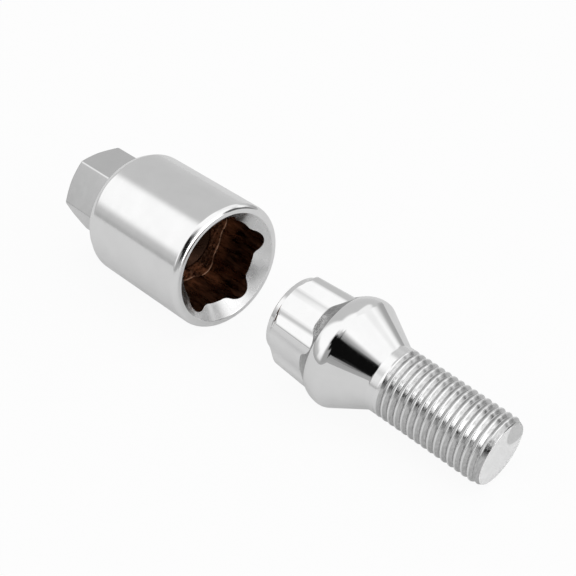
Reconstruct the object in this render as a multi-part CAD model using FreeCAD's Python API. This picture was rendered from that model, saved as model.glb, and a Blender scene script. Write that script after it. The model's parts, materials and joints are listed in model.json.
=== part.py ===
import FreeCAD, Part
import math
import os

# A locking wheel bolt and its key, lying one behind the other on a flat surface, in millimetres.
# +X runs along the key's axis from its hexagon to its mouth, +Z is up, and the origin lies on
# the surface under the middle of the pair.
# Each piece is drawn about a local X axis: the key's mouth and the bolt's tip are at local x = 0,
# face +X, and the rest of the piece lies behind them.

Vec = FreeCAD.Vector

# Bolt shank and its conical seat
thread_r = 6.95          # major radius of the M14 thread
thread_length = 23.2
tip_chamfer = 1.2
relief_r = 5.5           # thread relief, where the cone starts
cone_half_angle = 30.0   # the seat's included angle is twice this
rim_r = 11.5             # largest radius of the bolt, where the cone turns over
crown_r = 2.5            # rounding from the cone to the domed back
dome_r = 5.7             # the dome carries on from the rounding at the rim's largest radius
dome_foot_r = 7.2        # radius at which the dome ends, inside the head

# Bolt head, round with rounded ribs, and drafted: it narrows towards its end
bolt_length = 49.4       # tip to head end
head_r = 9.05            # this and the ribs' sizes hold at the head's root, inside the dome
rib_count = 5
rib_tip_r = 10.6         # distance of a rib's crest from the axis
rib_round = 2.85         # radius of each rib's crest
rib_foot_round = 3.2     # radius at each side of its foot
head_draft = 3.0         # angle of every side of the head to its axis
head_end_r = 7.85
head_end_band = 1.2      # length of the plain, tapered band between the ribs and the head's end
rib_end_slope = 48.0     # angle of the ribs' ends to the axis
head_phase = 7.0         # angle of the first rib, from local Y towards local Z

# Key body and its socket, a round hole with a groove for each rib
body_r = 13.7
body_length = 30.1
mouth_chamfer = 0.8
shoulder_chamfer = 2.1   # length along the axis of the chamfer at the body's rear
shoulder_chamfer_angle = 26.0
socket_clearance = 0.3   # gap all round between the socket and the head's root
socket_depth = 13.0
countersink_r = 12.0     # radius of the countersink in the mouth's face
countersink_angle = 45.0
drill_r = 6.0            # drill point in the socket's floor
drill_angle = 59.0       # half of the drill point's angle
socket_phase = 7.5       # angle of the first groove, from Y towards Z

# Hexagon that the wheel brace fits
hex_flats = 17.0         # across flats
hex_length = 13.8
hex_corner_chamfer = 1.7
hex_chamfer_angle = 30.0
hex_phase = -3.6         # angle of the first corner, from Y towards Z

# How the two pieces lie
head_gap = 20.2          # from the key's mouth to the middle of the head's end, along X
head_side = -0.58        # the same two points' distance across, along Y
bolt_yaw = 4.97          # turn of the bolt away from the key's axis

# Contact of the bolt with the surface: on the thread's first crest and on the rounded rim
sin_cone = math.sin(math.radians(cone_half_angle))
cos_cone = math.cos(math.radians(cone_half_angle))
crown_centre_r = rim_r - crown_r
cone_end_r = crown_centre_r + crown_r * cos_cone
cone_end_t = thread_length + (cone_end_r - relief_r) * cos_cone / sin_cone
crown_centre_t = cone_end_t + crown_r * sin_cone
contact_run = crown_centre_t - tip_chamfer
contact_rise = crown_centre_r - thread_r
bolt_tilt = math.degrees(math.asin(crown_r / math.hypot(contact_run, contact_rise))
                         + math.atan2(contact_rise, contact_run))


def at(t, r):
    """A point of a half profile: t is the distance behind the front end, r the radius."""
    return Vec(-t, 0, r)


def polar(radius, degrees):
    """A point in the plane across the axis, with its angle from Y towards Z."""
    angle = math.radians(degrees)
    return Vec(0, radius * math.cos(angle), radius * math.sin(angle))


def arc(start, middle, end):
    return Part.Arc(start, middle, end).toShape()


def on_circle(centre_t, centre_r, radius, degrees):
    """A point on a circle in the half profile, with its angle past the top, away from the front."""
    angle = math.radians(degrees)
    return at(centre_t + radius * math.sin(angle), centre_r + radius * math.cos(angle))


def circle_arc(centre_t, centre_r, radius, first, last):
    """An arc of such a circle, from one angle to another."""
    middle = (first + last) / 2
    return arc(*[on_circle(centre_t, centre_r, radius, a) for a in (first, middle, last)])


def turned(edges):
    """The solid that a closed half profile makes when it turns about the X axis."""
    return Part.Face(Part.Wire(edges)).revolve(Vec(0, 0, 0), Vec(1, 0, 0), 360)


def lines(*points):
    return [Part.makeLine(a, b) for a, b in zip(points, points[1:])]


def towards(start, end, distance):
    return start + (end - start).normalize() * distance


def ribbed_outline(t, clearance, phase):
    """The head's round outline with its ribs, in tangent arcs, moved outwards by a clearance."""
    crest_distance = rib_tip_r - rib_round
    foot_distance = head_r + rib_foot_round
    foot_reach = rib_foot_round + rib_round
    foot_cosine = crest_distance ** 2 + foot_distance ** 2 - foot_reach ** 2
    foot_angle = math.degrees(math.acos(foot_cosine / (2 * crest_distance * foot_distance)))
    pitch = 360.0 / rib_count
    crest_radius = rib_round + clearance
    edges = []
    for i in range(rib_count):
        turn = phase + pitch * i
        crest = polar(crest_distance, turn)
        ends = []
        for side in (-1, 1):
            centre = polar(foot_distance, turn + side * foot_angle)
            joint = towards(crest, centre, crest_radius)
            root = polar(head_r + clearance, turn + side * foot_angle)
            halfway = (joint + root) * 0.5
            ends.append((joint, towards(centre, halfway, rib_foot_round - clearance), root))
        edges.append(arc(ends[0][2], ends[0][1], ends[0][0]))
        edges.append(arc(ends[0][0], polar(rib_tip_r + clearance, turn), ends[1][0]))
        edges.append(arc(*ends[1]))
        next_root = polar(head_r + clearance, turn + pitch - foot_angle)
        edges.append(arc(ends[1][2], polar(head_r + clearance, turn + pitch / 2), next_root))
    outline = Part.Wire(edges)
    outline.translate(Vec(-t, 0, 0))
    return outline


def shank_and_seat():
    """The shank, the thread relief, the cone and its domed back, turned as one."""
    dome_centre_r = rim_r - dome_r
    dome_end = math.degrees(math.acos((dome_foot_r - dome_centre_r) / dome_r))
    relief_t = thread_length - (thread_r - relief_r)
    foot = on_circle(crown_centre_t, dome_centre_r, dome_r, dome_end)
    edges = lines(at(0, 0), at(0, thread_r - tip_chamfer), at(tip_chamfer, thread_r),
                  at(relief_t, thread_r), at(thread_length, relief_r), at(cone_end_t, cone_end_r))
    edges.append(circle_arc(crown_centre_t, crown_centre_r, crown_r, -cone_half_angle, 0))
    edges.append(circle_arc(crown_centre_t, dome_centre_r, dome_r, 0, dome_end))
    edges += lines(foot, Vec(foot.x, 0, 0), at(0, 0))
    return turned(edges)


def ribbed_head():
    """The drafted, ribbed head from its root inside the dome, with its turned end."""
    root_t = crown_centre_t
    shrink = math.tan(math.radians(head_draft))
    front = ribbed_outline(root_t, 0, head_phase)
    back = ribbed_outline(bolt_length, (root_t - bolt_length) * shrink, head_phase)
    blank = Part.makeLoft([front, back], True, True)
    band_t = bolt_length - head_end_band
    band_r = head_r - (band_t - root_t) * shrink
    rib_end_t = band_t - (rib_tip_r - band_r) / math.tan(math.radians(rib_end_slope))
    envelope = turned(lines(at(bolt_length, 0), at(root_t, 0), at(root_t, rib_tip_r),
                            at(rib_end_t, rib_tip_r), at(band_t, band_r),
                            at(bolt_length, head_end_r), at(bolt_length, 0)))
    return blank.common(envelope)


def make_lock_bolt():
    """The bolt, laid down on its rim and its first thread crest, and turned by its yaw."""
    bolt = shank_and_seat().fuse(ribbed_head()).removeSplitter()
    tilt = FreeCAD.Rotation(Vec(0, 1, 0), bolt_tilt)
    yaw = FreeCAD.Rotation(Vec(0, 0, 1), bolt_yaw)
    lay = yaw.multiply(tilt)
    lean = math.radians(bolt_tilt)
    lift = thread_r * math.cos(lean) - tip_chamfer * math.sin(lean)
    back = lay.multVec(Vec(-bolt_length, 0, 0))
    place = Vec(mouth_x + head_gap - back.x, head_side - back.y, lift)
    bolt.Placement = FreeCAD.Placement(place, lay)
    return bolt


def key_body():
    """The round body, with its chamfered mouth and rear shoulder."""
    rear_r = body_r - shoulder_chamfer * math.tan(math.radians(shoulder_chamfer_angle))
    return turned(lines(at(0, 0), at(0, body_r - mouth_chamfer), at(mouth_chamfer, body_r),
                        at(body_length - shoulder_chamfer, body_r), at(body_length, rear_r),
                        at(body_length, 0), at(0, 0)))


def key_hexagon():
    """The hexagon behind the body, with its corners turned off at the end."""
    corner_r = hex_flats / math.sqrt(3)
    root_t = body_length / 2 + socket_depth / 2
    end_t = body_length + hex_length
    corners = [polar(corner_r, hex_phase + 60 * i) for i in range(7)]
    outline = Part.Face(Part.makePolygon(corners))
    outline.translate(Vec(-root_t, 0, 0))
    prism = outline.extrude(Vec(root_t - end_t, 0, 0))
    chamfer_run = hex_corner_chamfer * math.tan(math.radians(hex_chamfer_angle))
    envelope = turned(lines(at(root_t, 0), at(root_t, corner_r), at(end_t - chamfer_run, corner_r),
                            at(end_t, corner_r - hex_corner_chamfer), at(end_t, 0), at(root_t, 0)))
    return prism.common(envelope)


def key_socket_void():
    """What the socket takes out: grooved recess, countersink and drill point."""
    outline = Part.Face(ribbed_outline(-mouth_chamfer, socket_clearance, socket_phase))
    recess = outline.extrude(Vec(-mouth_chamfer - socket_depth, 0, 0))
    depth = countersink_r / math.tan(math.radians(countersink_angle))
    countersink = turned(lines(at(0, 0), at(0, countersink_r), at(depth, 0), at(0, 0)))
    point = drill_r / math.tan(math.radians(drill_angle))
    drill = turned(lines(at(socket_depth, 0), at(socket_depth, drill_r), at(socket_depth + point, 0),
                         at(socket_depth, 0)))
    return recess.fuse([countersink, drill])


def make_key_socket():
    key = key_body().fuse(key_hexagon()).cut(key_socket_void()).removeSplitter()
    key.Placement = FreeCAD.Placement(Vec(mouth_x, 0, body_r), FreeCAD.Rotation())
    return key


def pair_middle():
    """The middle of the pair's length, measured from the key's mouth."""
    tilt = math.radians(bolt_tilt)
    yaw = math.radians(bolt_yaw)
    along = math.cos(tilt) * math.cos(yaw)
    tip_x = head_gap + bolt_length * along + (thread_r - tip_chamfer) * math.sqrt(1 - along ** 2)
    rear_x = -body_length - hex_length
    return (tip_x + rear_x) / 2


mouth_x = -pair_middle()
os.makedirs("parts", exist_ok=True)
make_key_socket().exportStep("parts/key_socket.step")
make_lock_bolt().exportStep("parts/lock_bolt.step")
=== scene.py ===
import json
import math

import bmesh
import bpy
import numpy as np
from mathutils import Matrix, Vector


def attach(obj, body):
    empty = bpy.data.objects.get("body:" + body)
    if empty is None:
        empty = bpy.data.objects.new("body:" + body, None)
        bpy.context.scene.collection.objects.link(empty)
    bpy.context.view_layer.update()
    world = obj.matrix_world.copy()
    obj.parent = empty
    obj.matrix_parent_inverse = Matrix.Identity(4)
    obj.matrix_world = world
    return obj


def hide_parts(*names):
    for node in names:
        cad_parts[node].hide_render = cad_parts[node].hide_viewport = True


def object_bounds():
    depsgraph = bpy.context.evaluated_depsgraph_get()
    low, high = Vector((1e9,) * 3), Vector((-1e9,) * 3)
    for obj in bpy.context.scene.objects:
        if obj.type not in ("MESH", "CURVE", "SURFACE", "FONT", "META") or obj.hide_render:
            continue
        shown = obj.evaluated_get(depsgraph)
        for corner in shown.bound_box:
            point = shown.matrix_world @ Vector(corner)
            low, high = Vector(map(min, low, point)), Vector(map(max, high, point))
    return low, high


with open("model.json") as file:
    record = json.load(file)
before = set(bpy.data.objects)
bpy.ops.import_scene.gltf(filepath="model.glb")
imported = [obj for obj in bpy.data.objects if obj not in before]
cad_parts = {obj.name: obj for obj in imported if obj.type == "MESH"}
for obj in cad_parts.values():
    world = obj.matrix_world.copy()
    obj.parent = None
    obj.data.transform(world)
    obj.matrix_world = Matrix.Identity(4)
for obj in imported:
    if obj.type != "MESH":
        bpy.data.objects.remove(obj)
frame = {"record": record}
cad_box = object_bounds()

# A locking wheel bolt and its key. Each is one mesh, drawn in millimetres about its own X axis:
# t is the distance behind the key's mouth or the bolt's tip, and r the distance from the axis.
# The main sizes are those of the CAD solids. Roundings, the thread, the plain shank and the
# neck are drawn here only.
MM = 0.001
COLUMNS = 480             # steps round the axis, a multiple of both the ribs and the hexagon
THREAD_COLUMNS = 200      # steps in one turn of the thread
SUPPORT = 0.04            # rows this close to a rounding keep the flats beside it flat
SUPPORT_SHARE = 0.1       # and take at most this share of the shorter side
ROUNDING_SHARE = 0.42     # a rounding takes at most this share of the shorter side
MERGE_DISTANCE = 0.0005   # vertices closer than this become one

# Bolt shank, in the order of its surfaces from the tip
tip_r = 6.35              # radius of the flat tip
tip_t = 0.1               # the flat tip lies back by this, so that its edge keeps in the CAD box
tip_chamfer = 1.2         # where the chamfer ends, along the axis
thread_r = 6.95
thread_root_r = 6.5
thread_pitch = 1.5
thread_length = 23.2
thread_end_t = 23.9       # the grooves have run out here
flank_angle = 36.0        # of the thread's flanks to the axis, as they look under the plating
run_out_angle = 28.0      # of the grooves to the axis, where they run out
crest_half = thread_pitch / 22  # half the width of a flat crest
crest_round = 0.08
groove_round = 0.3
shank_r = 6.9             # plain shank between thread and cone
shank_round = 0.5
shank_tuck = SUPPORT / 4  # the shank starts this far inside the thread's end

# Bolt seat and its back
relief_r = 5.5            # the cone, drawn on inwards, has this radius at thread_length
cone_half_angle = 30.0
rim_r = 11.5
crown_r = 2.5
dome_r = 5.7
neck_angle = 35.0         # the dome runs out to this slope and goes on straight
neck_blend = 4.0          # the dome's arc stops this many degrees short of it
neck_round = 0.4
CROWN_STEPS = 14
DOME_STEPS = 16
FOOT_PASSES = 4           # the head's draft and the neck's foot are fitted to each other
SHANK_ROWS = 3            # rows of the seat with the thread's finish
NECK_ROWS = 4             # rows of the head with the neck's painted shade

# Bolt head
bolt_length = 49.4
head_draft = 3.0
head_end_r = 7.85
head_end_band = 1.2
head_end_round = 0.4
rib_end_slope = 48.0
rib_end_round = 0.9
head_phase = 7.0

# Round outline with ribs, of the head and, wider by the clearance, of the socket
head_r = 9.05
rib_count = 5
rib_tip_r = 10.6
rib_round = 2.85
rib_foot_round = 3.2
socket_clearance = 0.3
socket_phase = 7.5

# Key
body_r = 13.7
body_length = 30.1
mouth_chamfer = 0.8
mouth_round = 1.1
shoulder_chamfer = 2.1
shoulder_chamfer_angle = 26.0
shoulder_round = 1.2
socket_depth = 13.0
countersink_r = 12.0
countersink_angle = 45.0
drill_r = 6.0
drill_angle = 59.0
hex_flats = 17.0
hex_length = 13.8
hex_corner_chamfer = 1.7
hex_chamfer_angle = 30.0
hex_phase = -3.6
hex_corner_round = 0.5
hex_end_round = 0.5

# Roundings of the other edges, and where one surface rises from another
edge_round = 0.14
root_round = 0.35

# Finishes, in the order in which each piece has them
BODY, RECESS, SINK, HEXAGON = range(4)
PLAIN, THREAD, NECK, TIP = range(4)
tip_painted_reflection = (4.7, 3.9)    # middle of a darker patch of painted reflection on the tip's face, across and up
tip_painted_reflection_r = 4.0
tip_painted_reflection_blur = 0.25
cloud_gain = 1.03         # the palest plating against its tint
peel_strength = 0.05
peel_height = 0.02
groove_shade_band = (0.14, 0.04)  # the painted shade in the thread's grooves ends between these depths
recess_shade_band = 1.0         # painted shade darkens the recess over this width round the drill point

# Where the cone goes over into the rounded rim, and the rim into the domed back
sin_cone = math.sin(math.radians(cone_half_angle))
cos_cone = math.cos(math.radians(cone_half_angle))
crown_centre_r = rim_r - crown_r
dome_centre_r = rim_r - dome_r
cone_end_r = crown_centre_r + crown_r * cos_cone
cone_end_t = thread_length + (cone_end_r - relief_r) * cos_cone / sin_cone
rim_t = cone_end_t + crown_r * sin_cone


def slope(degrees):
    """Rise over run of a line at this angle."""
    return math.tan(math.radians(degrees))


def angles(count):
    """Column angles round the axis, from local Y towards local Z, in radians."""
    return np.arange(count) * 2 * math.pi / count


def nearest_turn(phi, phase, pitch):
    """Angle from phi to the nearest of the places that repeat with this pitch."""
    return np.abs((phi - math.radians(phase) + pitch / 2) % pitch - pitch / 2)


def ray_to_circle(distance, radius, turn, side):
    """Where a ray from the axis, at this turn from the centre, meets a circle's far side (1)
    or near side (-1)."""
    half_chord = np.sqrt(np.maximum(radius ** 2 - (distance * np.sin(turn)) ** 2, 0))
    return distance * np.cos(turn) + side * half_chord


def ribbed_radius(phi, clearance, phase):
    """Distance from the axis to the ribbed outline, moved outwards, at the angles phi."""
    turn = nearest_turn(phi, phase, 2 * math.pi / rib_count)
    crest = rib_tip_r - rib_round
    foot = head_r + rib_foot_round
    reach = rib_foot_round + rib_round
    foot_turn = math.acos((crest ** 2 + foot ** 2 - reach ** 2) / (2 * crest * foot))
    crest_radius = rib_round + clearance
    foot_radius = rib_foot_round - clearance
    share = crest_radius / reach
    joint_turn = np.arctan2(share * foot * math.sin(foot_turn),
                            crest + share * (foot * math.cos(foot_turn) - crest))
    on_crest = ray_to_circle(crest, crest_radius, turn, 1)
    on_foot = ray_to_circle(foot, foot_radius, foot_turn - turn, -1)
    plain = np.full_like(turn, head_r + clearance)
    return np.where(turn < joint_turn, on_crest, np.where(turn < foot_turn, on_foot, plain))


def hexagon_radius(phi):
    """Distance from the axis to the hexagon, with its long corners slightly rounded."""
    apothem = hex_flats / 2
    sector = math.pi / 3
    turn = nearest_turn(phi, hex_phase, sector)
    centre = (apothem - hex_corner_round) / math.cos(sector / 2)
    joint_turn = math.atan2(hex_corner_round * math.sin(sector / 2),
                            centre + hex_corner_round * math.cos(sector / 2))
    return np.where(turn < joint_turn, ray_to_circle(centre, hex_corner_round, turn, 1),
                    apothem / np.cos(sector / 2 - turn))


def point(t, r, count=COLUMNS):
    """One corner of the half profile, the same or different in every column."""
    return np.stack([np.broadcast_to(t, count), np.broadcast_to(r, count)], axis=1).astype(float)


def rounded(profile, columns=COLUMNS, support_run=SUPPORT):
    """Rows of a grid along a profile of (t, r) points. Those between its ends also give the
    radius of their rounding and its steps."""
    corners = [point(t, r, columns) for t, r, *_ in profile]
    rows = [corners[0]]
    for before, here, after, (*_, radius, steps) in zip(corners, corners[1:], corners[2:],
                                                        profile[1:]):
        back, ahead = before - here, after - here
        back_length = np.linalg.norm(back, axis=1, keepdims=True)
        ahead_length = np.linalg.norm(ahead, axis=1, keepdims=True)
        shorter = np.minimum(back_length, ahead_length)
        back, ahead = back / back_length, ahead / ahead_length
        half = np.arccos(np.clip(np.sum(back * ahead, axis=1, keepdims=True), -1, 1)) / 2
        run = np.minimum(radius / np.tan(half), ROUNDING_SHARE * shorter)
        bisector = back + ahead
        bisector = bisector / np.linalg.norm(bisector, axis=1, keepdims=True)
        centre = here + bisector * run / np.cos(half)
        start, end = here + back * run - centre, here + ahead * run - centre
        sweep = math.pi - 2 * half
        support = np.minimum(support_run, SUPPORT_SHARE * shorter)
        if support_run:
            rows.append(centre + start + back * support)
        for k in range(steps + 1):
            share = k / steps
            rows.append(centre + (start * np.sin((1 - share) * sweep) + end * np.sin(share * sweep))
                        / np.sin(sweep))
        if support_run:
            rows.append(centre + end + ahead * support)
    rows.append(corners[-1])
    return rows


def last_row(profile, corner):
    """Index of the last row that rounded() makes for a corner of the profile, supports counted."""
    return sum(steps + 3 for *_, steps in profile[1:corner + 1])


def arc_rows(centre_r, radius, first, last, steps):
    """Rows along an arc over the rim, its angles in degrees from the outward direction, away
    from the front."""
    rows = []
    for k in range(steps + 1):
        turn = np.radians(first + (last - first) * k / steps)
        rows.append(point(rim_t + radius * np.sin(turn), centre_r + radius * np.cos(turn)))
    return rows


class Shell:
    """Vertices and faces of one piece, gathered from grids about the local X axis."""

    def __init__(self):
        self.vertices = []
        self.faces = []
        self.slots = []

    def add_grid(self, rows, slot, shift=0):
        """Quads between rows; the last column joins the first one, shift rows away."""
        columns = len(rows[0])
        phi = angles(columns)
        base = len(self.vertices)
        for row in rows:
            x, r = -row[:, 0], row[:, 1]
            self.vertices += np.stack([x, r * np.cos(phi), r * np.sin(phi)], axis=1).tolist()
        for j in range(len(rows) - 1):
            for i in range(columns):
                beside, level = (i + 1, j) if i + 1 < columns else (0, j + shift)
                if level < 0 or level + 1 >= len(rows):
                    continue
                here = base + j * columns + i
                there = base + level * columns + beside
                self.faces.append((here, here + columns, there + columns, there))
                self.slots.append(slot)

    def finish(self, name, place, materials):
        """Make the object: merge doubled vertices, place it, and keep its own coordinates."""
        mesh = bpy.data.meshes.new(name)
        mesh.from_pydata(self.vertices, [], self.faces)
        mesh.polygons.foreach_set("material_index", self.slots)
        work = bmesh.new()
        work.from_mesh(mesh)
        bmesh.ops.remove_doubles(work, verts=work.verts, dist=MERGE_DISTANCE)
        bmesh.ops.dissolve_degenerate(work, edges=work.edges, dist=MERGE_DISTANCE)
        bmesh.ops.recalc_face_normals(work, faces=work.faces)
        work.to_mesh(mesh)
        work.free()
        own = mesh.attributes.new("own_mm", "FLOAT_VECTOR", "POINT")
        places = np.empty(len(mesh.vertices) * 3, dtype=np.float32)
        mesh.vertices.foreach_get("co", places)
        own.data.foreach_set("vector", places)
        mesh.transform(place @ Matrix.Scale(MM, 4))
        mesh.polygons.foreach_set("use_smooth", [True] * len(mesh.polygons))
        for material in materials:
            mesh.materials.append(material)
        obj = bpy.data.objects.new(name, mesh)
        bpy.context.scene.collection.objects.link(obj)
        return obj


def key_shell():
    """The key, from the hexagon's end over the body into the socket."""
    phi = angles(COLUMNS)
    side = hexagon_radius(phi)
    wall = ribbed_radius(phi, socket_clearance, socket_phase)
    end_t = body_length + hex_length
    end_r = hex_flats / math.sqrt(3) - hex_corner_chamfer
    chamfer_t = end_t - (side - end_r) * slope(hex_chamfer_angle)
    rear_r = body_r - shoulder_chamfer * slope(shoulder_chamfer_angle)
    sink_t = (countersink_r - wall) / slope(countersink_angle)
    drill_t = socket_depth + drill_r / slope(drill_angle)
    outside = [(end_t, 0),
               (end_t, end_r, hex_end_round, 3),
               (chamfer_t, side, hex_end_round, 3),
               (body_length, side, root_round, 4),
               (body_length, rear_r, shoulder_round, 4),
               (body_length - shoulder_chamfer, body_r, shoulder_round, 4),
               (mouth_chamfer, body_r, mouth_round, 5),
               (0, body_r - mouth_chamfer, mouth_round, 5),
               (0, countersink_r, edge_round, 3),
               (sink_t, wall, edge_round, 4),
               (socket_depth, wall)]
    rows = rounded(outside)
    hexagon_to = last_row(outside, 2) + 1
    sink_from = last_row(outside, 8)
    inside_from = last_row(outside, 9)
    inside = [tuple(rows[inside_from].T),
              (socket_depth, wall, root_round, 4),
              (socket_depth, drill_r, edge_round, 3),
              (drill_t, 0)]
    shell = Shell()
    shell.add_grid(rows[:hexagon_to + 1], HEXAGON)
    shell.add_grid(rows[hexagon_to:sink_from + 1], BODY)
    shell.add_grid(rows[sink_from:inside_from + 1], SINK)
    shell.add_grid(rounded(inside), RECESS)
    return shell


def thread_rows():
    """The thread as rows along its helix, from the tip's chamfer to where its grooves run out,
    and the number of rows in a turn."""
    sharp = (thread_r - thread_root_r) / slope(flank_angle)
    groove = thread_pitch - crest_half
    # one turn's profile, whose two ends lie on the crests beside it and are dropped
    turn = [(-crest_half, thread_r),
            (crest_half, thread_r, crest_round, 2),
            (crest_half + sharp, thread_root_r, groove_round, 3),
            (groove - sharp, thread_root_r, groove_round, 3),
            (groove, thread_r, crest_round, 2),
            (groove + 2 * crest_half, thread_r)]
    turn = [row[0] for row in rounded(turn, columns=1, support_run=0)[1:-1]]
    slide = -thread_pitch * angles(THREAD_COLUMNS) / (2 * math.pi)
    # the turns reach past both ends of the thread, where they are cut off
    turns = range(-1, math.ceil(thread_length / thread_pitch) + 2)
    rows = []
    for number in turns:
        for t, r in turn:
            at = np.clip(t + number * thread_pitch + slide, tip_t, thread_end_t)
            chamfer = tip_r + (at - tip_t) * (thread_r - tip_r) / (tip_chamfer - tip_t)
            run_out = shank_r - (thread_end_t - at) * slope(run_out_angle)
            shoulder = shank_r + thread_end_t - at
            radius = np.minimum(np.maximum(r, run_out), shoulder)
            rows.append(np.stack([at, np.minimum(radius, chamfer)], axis=1))
    return rows, len(turn)


def seat_rows():
    """Rows of the plain shank, the cone, its rounded rim and the domed back."""
    cone_foot_t = thread_length + (shank_r - relief_r) * cos_cone / sin_cone
    shank = [(thread_end_t - shank_tuck, shank_r - shank_tuck / 2),
             (cone_foot_t, shank_r, shank_round, 6),
             (cone_end_t, cone_end_r)]
    rows = rounded(shank)[:-1]  # the cone's last row is the first of the rim's arc
    rows.append(point(cone_end_t - SUPPORT, cone_end_r - SUPPORT * sin_cone / cos_cone))
    rows += arc_rows(crown_centre_r, crown_r, -cone_half_angle, 0, CROWN_STEPS)
    rows += arc_rows(dome_centre_r, dome_r, 0, neck_angle - neck_blend, DOME_STEPS)[1:]
    return rows


def head_rows(start):
    """Rows of the neck, the drafted, ribbed head, its plain band and its end."""
    phi = angles(COLUMNS)
    draft = slope(head_draft)
    neck_t = rim_t + dome_r * math.sin(math.radians(neck_angle))
    neck_r = dome_centre_r + dome_r * math.cos(math.radians(neck_angle))
    foot_t = neck_t
    for _ in range(FOOT_PASSES):
        side = ribbed_radius(phi, (rim_t - foot_t) * draft, head_phase)
        foot_t = neck_t + np.maximum(neck_r - side, SUPPORT) / slope(neck_angle)
    band_t = bolt_length - head_end_band
    band_r = head_r - (band_t - rim_t) * draft
    rib_side = ribbed_radius(phi, (rim_t - band_t) * draft, head_phase)
    rib_end_run = np.maximum((rib_side - band_r) / slope(rib_end_slope), SUPPORT)
    return rounded([tuple(start.T),
                    (foot_t, side, neck_round, 5),
                    (band_t - rib_end_run, rib_side, rib_end_round, 5),
                    (band_t, band_r, edge_round, 3),
                    (bolt_length, head_end_r, head_end_round, 5),
                    (bolt_length, 0)])


def bolt_shell():
    """The bolt: its plain shank and seat, its head, its thread and its flat tip."""
    seat = seat_rows()
    head = head_rows(seat[-1])
    thread, per_turn = thread_rows()
    shell = Shell()
    shell.add_grid(seat[:SHANK_ROWS], THREAD)
    shell.add_grid(seat[SHANK_ROWS - 1:], PLAIN)
    shell.add_grid(head[:NECK_ROWS], NECK)
    shell.add_grid(head[NECK_ROWS - 1:], PLAIN)
    shell.add_grid(thread, THREAD, shift=-per_turn)
    shell.add_grid([point(tip_t, r, THREAD_COLUMNS) for r in (0, tip_r - SUPPORT, tip_r)], TIP)
    return shell


def placing(origin, forward):
    """The matrix that lays a piece's local X along forward, turned by yaw and tilt only."""
    forward = Vector(forward).normalized()
    side = Vector((0, 0, 1)).cross(forward).normalized()
    up = forward.cross(side)
    turn = Matrix((forward, side, up)).transposed().to_4x4()
    return Matrix.Translation(Vector(origin)) @ turn


def mount(name):
    """Place and axis of one of the record's mounts."""
    found = [m for m in frame["record"]["mounts"] if m["name"] == name][0]
    return Vector(found["pos_m"]), Vector(found["axis"])


# Shader nodes

def colour(value):
    """RGBA from a grey level, or from red, green and blue."""
    rgb = value if isinstance(value, tuple) else (value, value, value)
    return (*rgb, 1.0)


class Graph:
    """The shader nodes of a material or a world."""

    MIX_SOCKETS = {"FLOAT": (2, 3, 0), "RGBA": (6, 7, 2)}  # of a Mix node: A, B and its result

    def __init__(self, owner):
        owner.use_nodes = True
        self.owner = owner
        self.nodes = owner.node_tree.nodes

    def add(self, kind, **settings):
        """A new node with these settings."""
        node = self.nodes.new("ShaderNode" + kind)
        for name, value in settings.items():
            setattr(node, name, value)
        return node

    def feed(self, socket, value):
        """Give an input a fixed value, or link an output to it."""
        if isinstance(value, bpy.types.NodeSocket):
            self.owner.node_tree.links.new(value, socket)
        else:
            socket.default_value = value

    def calculate(self, kind, operation, *values):
        """The result of a Math or VectorMath node."""
        node = self.add(kind, operation=operation)
        for socket, value in zip(node.inputs, values):
            self.feed(socket, value)
        return node.outputs["Value"]

    def math(self, operation, *values):
        return self.calculate("Math", operation, *values)

    def step(self, value, low, high):
        """A factor that rises smoothly from 0 to 1 as the value goes from low to high."""
        node = self.add("MapRange", interpolation_type="SMOOTHSTEP")
        self.feed(node.inputs["Value"], value)
        self.feed(node.inputs["From Min"], low)
        self.feed(node.inputs["From Max"], high)
        return node.outputs["Result"]

    def mix(self, kind, factor, first, second):
        """Numbers or colours blended; each is a fixed value or an output."""
        node = self.add("Mix", data_type=kind)
        a, b, result = self.MIX_SOCKETS[kind]
        self.feed(node.inputs["Factor"], factor)
        self.feed(node.inputs[a], first)
        self.feed(node.inputs[b], second)
        return node.outputs[result]


class Finish(Graph):
    """A material in the making, with textures in its piece's own millimetres."""

    def __init__(self, name, metallic):
        super().__init__(bpy.data.materials.new(name))
        self.shader = self.nodes["Principled BSDF"]
        self.set("Metallic", metallic)

    def set(self, name, value):
        """Give one of the shader's inputs a fixed value or an output."""
        self.feed(self.shader.inputs[name], value)

    def own_mm(self, along=1.0, across=1.0):
        """The piece's own coordinates in millimetres, scaled along its axis and across it."""
        mapping = self.add("Mapping")
        own = self.add("Attribute", attribute_name="own_mm")
        self.feed(mapping.inputs["Vector"], own.outputs["Vector"])
        self.feed(mapping.inputs["Scale"], (along, across, across))
        return mapping.outputs["Vector"]

    def from_axis(self):
        """Distance from the piece's axis in millimetres."""
        return self.calculate("VectorMath", "LENGTH", self.own_mm(along=0.0))

    def noise(self, along, across, detail, rough=0.5):
        """Cloudy noise, its scale per millimetre along the piece's axis and across it."""
        texture = self.add("TexNoise")
        self.feed(texture.inputs["Vector"], self.own_mm(along, across))
        self.feed(texture.inputs["Scale"], 1.0)
        self.feed(texture.inputs["Detail"], detail)
        self.feed(texture.inputs["Roughness"], rough)
        return texture.outputs["Fac"]

    def ramp(self, source, low, high, ends=(0.35, 0.65)):
        """From a low colour to a high one, as the source goes from one end to the other."""
        node = self.add("ValToRGB")
        for stop, position, value in zip(node.color_ramp.elements, ends, (low, high)):
            stop.position = position
            stop.color = colour(value)
        self.feed(node.inputs["Fac"], source)
        return node.outputs["Color"]


# Materials

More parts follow.
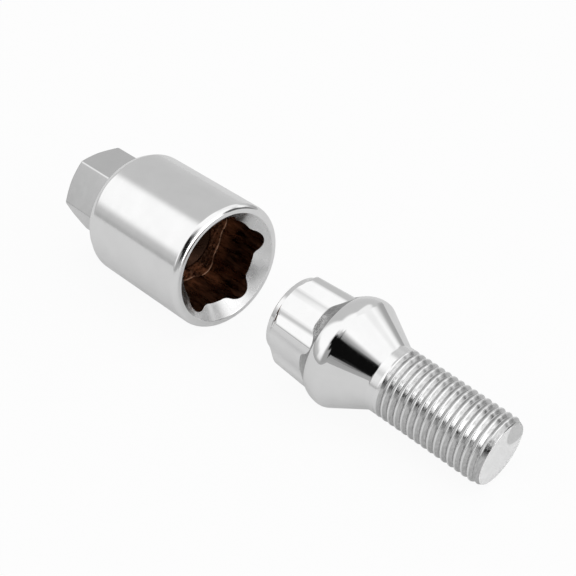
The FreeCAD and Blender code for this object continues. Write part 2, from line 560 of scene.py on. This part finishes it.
def chrome(name, tint, smooth, dull):
    """Bright plating: faint cloudiness, slightly uneven gloss and a trace of orange peel."""
    plate = Finish(name, metallic=1.0)
    cloud = plate.noise(along=0.25, across=0.25, detail=3.0)
    plate.set("Base Color", plate.ramp(cloud, tint, tint * cloud_gain))
    haze = plate.noise(along=0.8, across=0.8, detail=4.0, rough=0.6)
    plate.set("Roughness", plate.ramp(haze, smooth, dull))
    peel = plate.add("Bump")
    plate.feed(peel.inputs["Strength"], peel_strength)
    plate.feed(peel.inputs["Distance"], peel_height * MM)
    plate.feed(peel.inputs["Height"], plate.noise(along=2.2, across=2.2, detail=2.0))
    plate.set("Normal", peel.outputs["Normal"])
    return plate.owner


def satin(name):
    """The countersink, turned and a little dull."""
    plate = Finish(name, metallic=1.0)
    cloud = plate.noise(along=0.4, across=0.4, detail=4.0)
    plate.set("Base Color", plate.ramp(cloud, 0.82, 0.90))
    plate.set("Roughness", plate.ramp(cloud, 0.20, 0.30))
    return plate.owner


def rolled_thread(name):
    """The rolled thread, rougher than the rest: bright crests, and streaked roots drawn greyer as
    painted shade in the grooves.
    """
    plate = Finish(name, metallic=1.0)
    streak = plate.noise(along=4.0, across=1.2, detail=5.0, rough=0.6)
    crest = plate.step(plate.from_axis(), *(thread_r - depth for depth in groove_shade_band))
    # painted shade: the roots are drawn much greyer than the crests, with random streaks
    root = plate.ramp(streak, 0.50, 0.68)
    plate.set("Base Color", plate.mix("RGBA", crest, root, colour(0.92)))
    plate.set("Roughness", plate.ramp(streak, 0.12, 0.22))
    return plate.owner


def neck_painted_shade(name):
    """The neck behind the rim, a little rougher than the bolt's other plating and drawn dark grey
    as painted shade where it turns into the head.
    """
    plate = Finish(name, metallic=1.0)
    streak = plate.noise(along=0.7, across=2.5, detail=4.0, rough=0.6)
    # painted shade: the neck's plating is drawn far darker than the rest of the bolt
    plate.set("Base Color", plate.ramp(streak, 0.30, 0.48))
    plate.set("Roughness", 0.14)
    return plate.owner


def tip_face(name):
    """The bolt's flat tip, a little paler than the other plating and with one darker patch near its
    edge: both painted reflection.
    """
    plate = Finish(name, metallic=0.4)
    # painted reflection: a darker grey patch on the tip's face, and a paler tint round it
    offset = plate.calculate("VectorMath", "DISTANCE", plate.own_mm(), (0.0, *tip_painted_reflection))
    away = plate.step(offset, tip_painted_reflection_r - tip_painted_reflection_blur, tip_painted_reflection_r + tip_painted_reflection_blur)
    cloud = plate.noise(along=0.6, across=0.6, detail=4.0)
    bright = plate.ramp(cloud, 0.89, 0.93)
    plate.set("Base Color", plate.mix("RGBA", away, colour(0.60), bright))
    plate.set("Roughness", plate.ramp(cloud, 0.14, 0.22))
    return plate.owner


def bare_recess(name):
    """The socket's inside, where the plating thins out to brown, oiled steel, with painted shade
    near black round the drill point.
    """
    plate = Finish(name, metallic=1.0)
    patch = plate.noise(along=0.25, across=1.3, detail=5.0, rough=0.6)
    deep, worn, shaded = (0.08, 0.042, 0.025), (0.46, 0.27, 0.18), (0.022, 0.011, 0.007)
    brown = plate.ramp(patch, deep, worn, ends=(0.36, 0.72))
    # painted shade: the bottom of the socket round the drill point is drawn nearly black
    wall = plate.step(plate.from_axis(), drill_r, drill_r + recess_shade_band)
    plate.set("Base Color", plate.mix("RGBA", wall, colour(shaded), brown))
    plate.set("Roughness", plate.ramp(patch, 0.22, 0.42))
    return plate.owner


# Pieces

thread_plate = rolled_thread("thread_plate")
neck_plate = neck_painted_shade("neck_plate")
tip_plate = tip_face("tip_plate")
sink_plate = satin("sink_plate")
key_plate = chrome("key_plate", tint=0.87, smooth=0.11, dull=0.16)
hexagon_plate = chrome("hexagon_plate", tint=0.72, smooth=0.10, dull=0.18)
bolt_plate = chrome("bolt_plate", tint=0.87, smooth=0.03, dull=0.06)
recess_brown = bare_recess("recess_brown")

mouth, mouth_axis = mount("key_mouth")
head_back, head_axis = mount("head_drive")
key = key_shell().finish("key_socket_plated", placing(mouth, mouth_axis),
                         [key_plate, recess_brown, sink_plate, hexagon_plate])
tip = head_back - head_axis * bolt_length * MM
bolt = bolt_shell().finish("lock_bolt_plated", placing(tip, -head_axis),
                           [bolt_plate, thread_plate, neck_plate, tip_plate])
for piece, node, slot in ((key, "key_socket", "key_chrome"), (bolt, "lock_bolt", "bolt_chrome")):
    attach(piece, "root")
    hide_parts(node)


# Floor

floor_size = 3.0          # metres
floor_gap = 0.00002       # the floor lies this far under the object, so that faces don't coincide
# How bright the floor is to mirrors and to the camera, and how much of its own look that hides
floor_glows = (("Is Glossy Ray", 0.62, 0.45), ("Is Camera Ray", 1.0, 0.93))


def white_floor():
    """A white floor: near white to the camera, a paler grey in mirrors, with a soft shadow."""
    white = Finish("floor_white", metallic=0.0)
    white.set("Base Color", colour(0.86))
    white.set("Roughness", 0.9)
    white.set("Specular IOR Level", 0.0)
    rays = white.add("LightPath")
    surface = white.shader.outputs["BSDF"]
    for kind, strength, share in floor_glows:
        glow = white.add("Emission")
        white.feed(glow.inputs["Strength"], strength)
        blend = white.add("MixShader")
        white.feed(blend.inputs["Fac"], white.math("MULTIPLY", rays.outputs[kind], share))
        white.feed(blend.inputs[1], surface)
        white.feed(blend.inputs[2], glow.outputs["Emission"])
        surface = blend.outputs["Shader"]
    white.feed(white.nodes["Material Output"].inputs["Surface"], surface)
    return white.owner


def add_floor():
    """The floor as one square under the object."""
    half = floor_size / 2
    corners = [(-half, -half, 0), (half, -half, 0), (half, half, 0), (-half, half, 0)]
    mesh = bpy.data.meshes.new("floor")
    mesh.from_pydata(corners, [], [(0, 1, 2, 3)])
    mesh.materials.append(white_floor())
    floor = bpy.data.objects.new("floor", mesh)
    floor.location.z = cad_box[0][2] - floor_gap
    bpy.context.scene.collection.objects.link(floor)


add_floor()


# Light

tear_scale = 24.0         # noise that tears the ragged cards' edges
tear_detail = 5.0
tear_middle = 0.5


class Studio(Graph):
    """The light round the object: brightness by direction, laid over a white surround."""

    def __init__(self, level):
        super().__init__(bpy.data.worlds.new("studio"))
        direction = self.add("TexCoord").outputs["Generated"]
        split = self.add("SeparateXYZ")
        self.feed(split.inputs[0], direction)
        self.x, self.y = split.outputs["X"], split.outputs["Y"]
        self.height = self.degrees("ARCSINE", split.outputs["Z"])
        tear = self.add("TexNoise")
        self.feed(tear.inputs["Vector"], direction)
        self.feed(tear.inputs["Scale"], tear_scale)
        self.feed(tear.inputs["Detail"], tear_detail)
        self.tear = self.math("SUBTRACT", tear.outputs["Fac"], tear_middle)
        self.level = level

    def degrees(self, operation, *values):
        """The result of an inverse trigonometric function, in degrees."""
        return self.math("DEGREES", self.math(operation, *values))

    def bearing(self, centre):
        """Angle round Z from a bearing, between -180 and 180 degrees."""
        cosine, sine = math.cos(math.radians(centre)), math.sin(math.radians(centre))
        along = self.math("ADD", self.math("MULTIPLY", self.x, cosine),
                          self.math("MULTIPLY", self.y, sine))
        across = self.math("SUBTRACT", self.math("MULTIPLY", self.y, cosine),
                           self.math("MULTIPLY", self.x, sine))
        return self.degrees("ARCTAN2", across, along)

    def band(self, value, low, high, soft_low, soft_high):
        """A factor that is 1 between low and high, and fades over each soft edge."""
        rise = self.step(value, low - soft_low / 2, low + soft_low / 2)
        fall = self.step(value, high + soft_high / 2, high - soft_high / 2)
        return self.math("MULTIPLY", rise, fall)

    def card(self, level, bearings, heights, soft, ragged=0):
        """Lay a card of one brightness over what is there."""
        centre = sum(bearings) / 2
        half = (bearings[1] - bearings[0]) / 2
        bearing, height = self.bearing(centre), self.height
        if ragged:
            wobble = self.math("MULTIPLY", self.tear, ragged)
            bearing, height = self.math("ADD", bearing, wobble), self.math("ADD", height, wobble)
        across = self.band(bearing, -half, half, *soft[:2])
        mask = self.math("MULTIPLY", across, self.band(height, *heights, *soft[2:]))
        self.level = self.mix("FLOAT", mask, self.level, level)

    def finish(self):
        """Light the scene with it, and show the camera a plain white background."""
        camera_ray = self.add("LightPath").outputs["Is Camera Ray"]
        background = self.nodes["Background"]
        self.feed(background.inputs["Strength"], self.mix("FLOAT", camera_ray, self.level, 1.0))
        self.feed(background.inputs["Color"], colour(1.0))
        bpy.context.scene.world = self.owner


surround_level = 1.08
# Each card is laid over those before it. It has a brightness, a range of bearings from +X
# towards +Y and one of heights over the horizon, in degrees, and the widths of its soft edges
# in the same order. A last number makes its edges ragged.
cards = (
    # a wall behind the object, and a soft box in front of it on the right
    (0.58, (80, 186), (-90, 62), (16, 14, 1, 14)),
    (0.96, (56, 112), (29, 66), (10, 20, 10, 10)),
    # a low wall all round, darker on the left, and a darker line along its foot
    (0.62, (-181, 181), (-90, 9), (1, 1, 1, 24)),
    (0.54, (-160, -126), (-90, 15), (12, 8, 1, 12)),
    (0.42, (-181, 105), (-2, 5), (1, 20, 3, 6)),
    # a bright box ahead of the bolt
    (2.40, (-30, 38), (-3, 36), (6, 12, 3, 10)),
    # dark stands on the right: a low wide one, a high one and the foot between them
    (0.40, (70, 102), (-6, 13), (14, 14, 1, 12)),
    (0.10, (30, 62), (-6, 31), (10, 10, 1, 8)),
    (0.14, (57, 73), (-6, 17), (4, 8, 1, 6)),
    # the grey room behind the camera: its ceiling, its wall and the corner ahead of the bolt
    (0.66, (-112, -40), (40, 69), (16, 16, 8, 10)),
    (0.36, (-103, -32), (2, 60), (24, 8, 8, 8)),
    (0.36, (-42, -15), (33, 56), (8, 16, 6, 8)),
    # a dark, ragged doorway in that room, lower towards +X
    (0.004, (-99, -60), (41, 60), (6, 5, 4, 4), 16),
    (0.004, (-84, -42), (29, 53), (5, 5, 4, 4), 16),
    (0.004, (-60, -31), (11, 42), (5, 5, 4, 4), 16),
    (0.004, (-46, -25), (25, 47), (5, 5, 4, 4), 16),
)
studio = Studio(surround_level)
for card in cards:
    studio.card(*card)
studio.finish()


# Camera, at the photograph's viewing angle and placed from the key's mouth

lens_mm = 82.25
sensor_mm = 36.0
near_m = 0.01
camera_from_mouth = Vector((170.56, -135.76, 152.19)) * MM
right = Vector((0.6761, 0.7365, -0.0211)).normalized()
down = Vector((0.4206, -0.4093, -0.8097))
down = (down - down.dot(right) * right).normalized()
ahead = right.cross(down)
camera_data = bpy.data.cameras.new("camera")
camera_data.lens = lens_mm
camera_data.sensor_width = sensor_mm
camera_data.clip_start = near_m
camera = bpy.data.objects.new("camera", camera_data)
camera_turn = Matrix((right, -down, -ahead)).transposed().to_4x4()
camera.matrix_world = Matrix.Translation(mouth + camera_from_mouth) @ camera_turn
bpy.context.scene.collection.objects.link(camera)
bpy.context.scene.camera = camera
bpy.context.scene.view_settings.view_transform = "Standard"
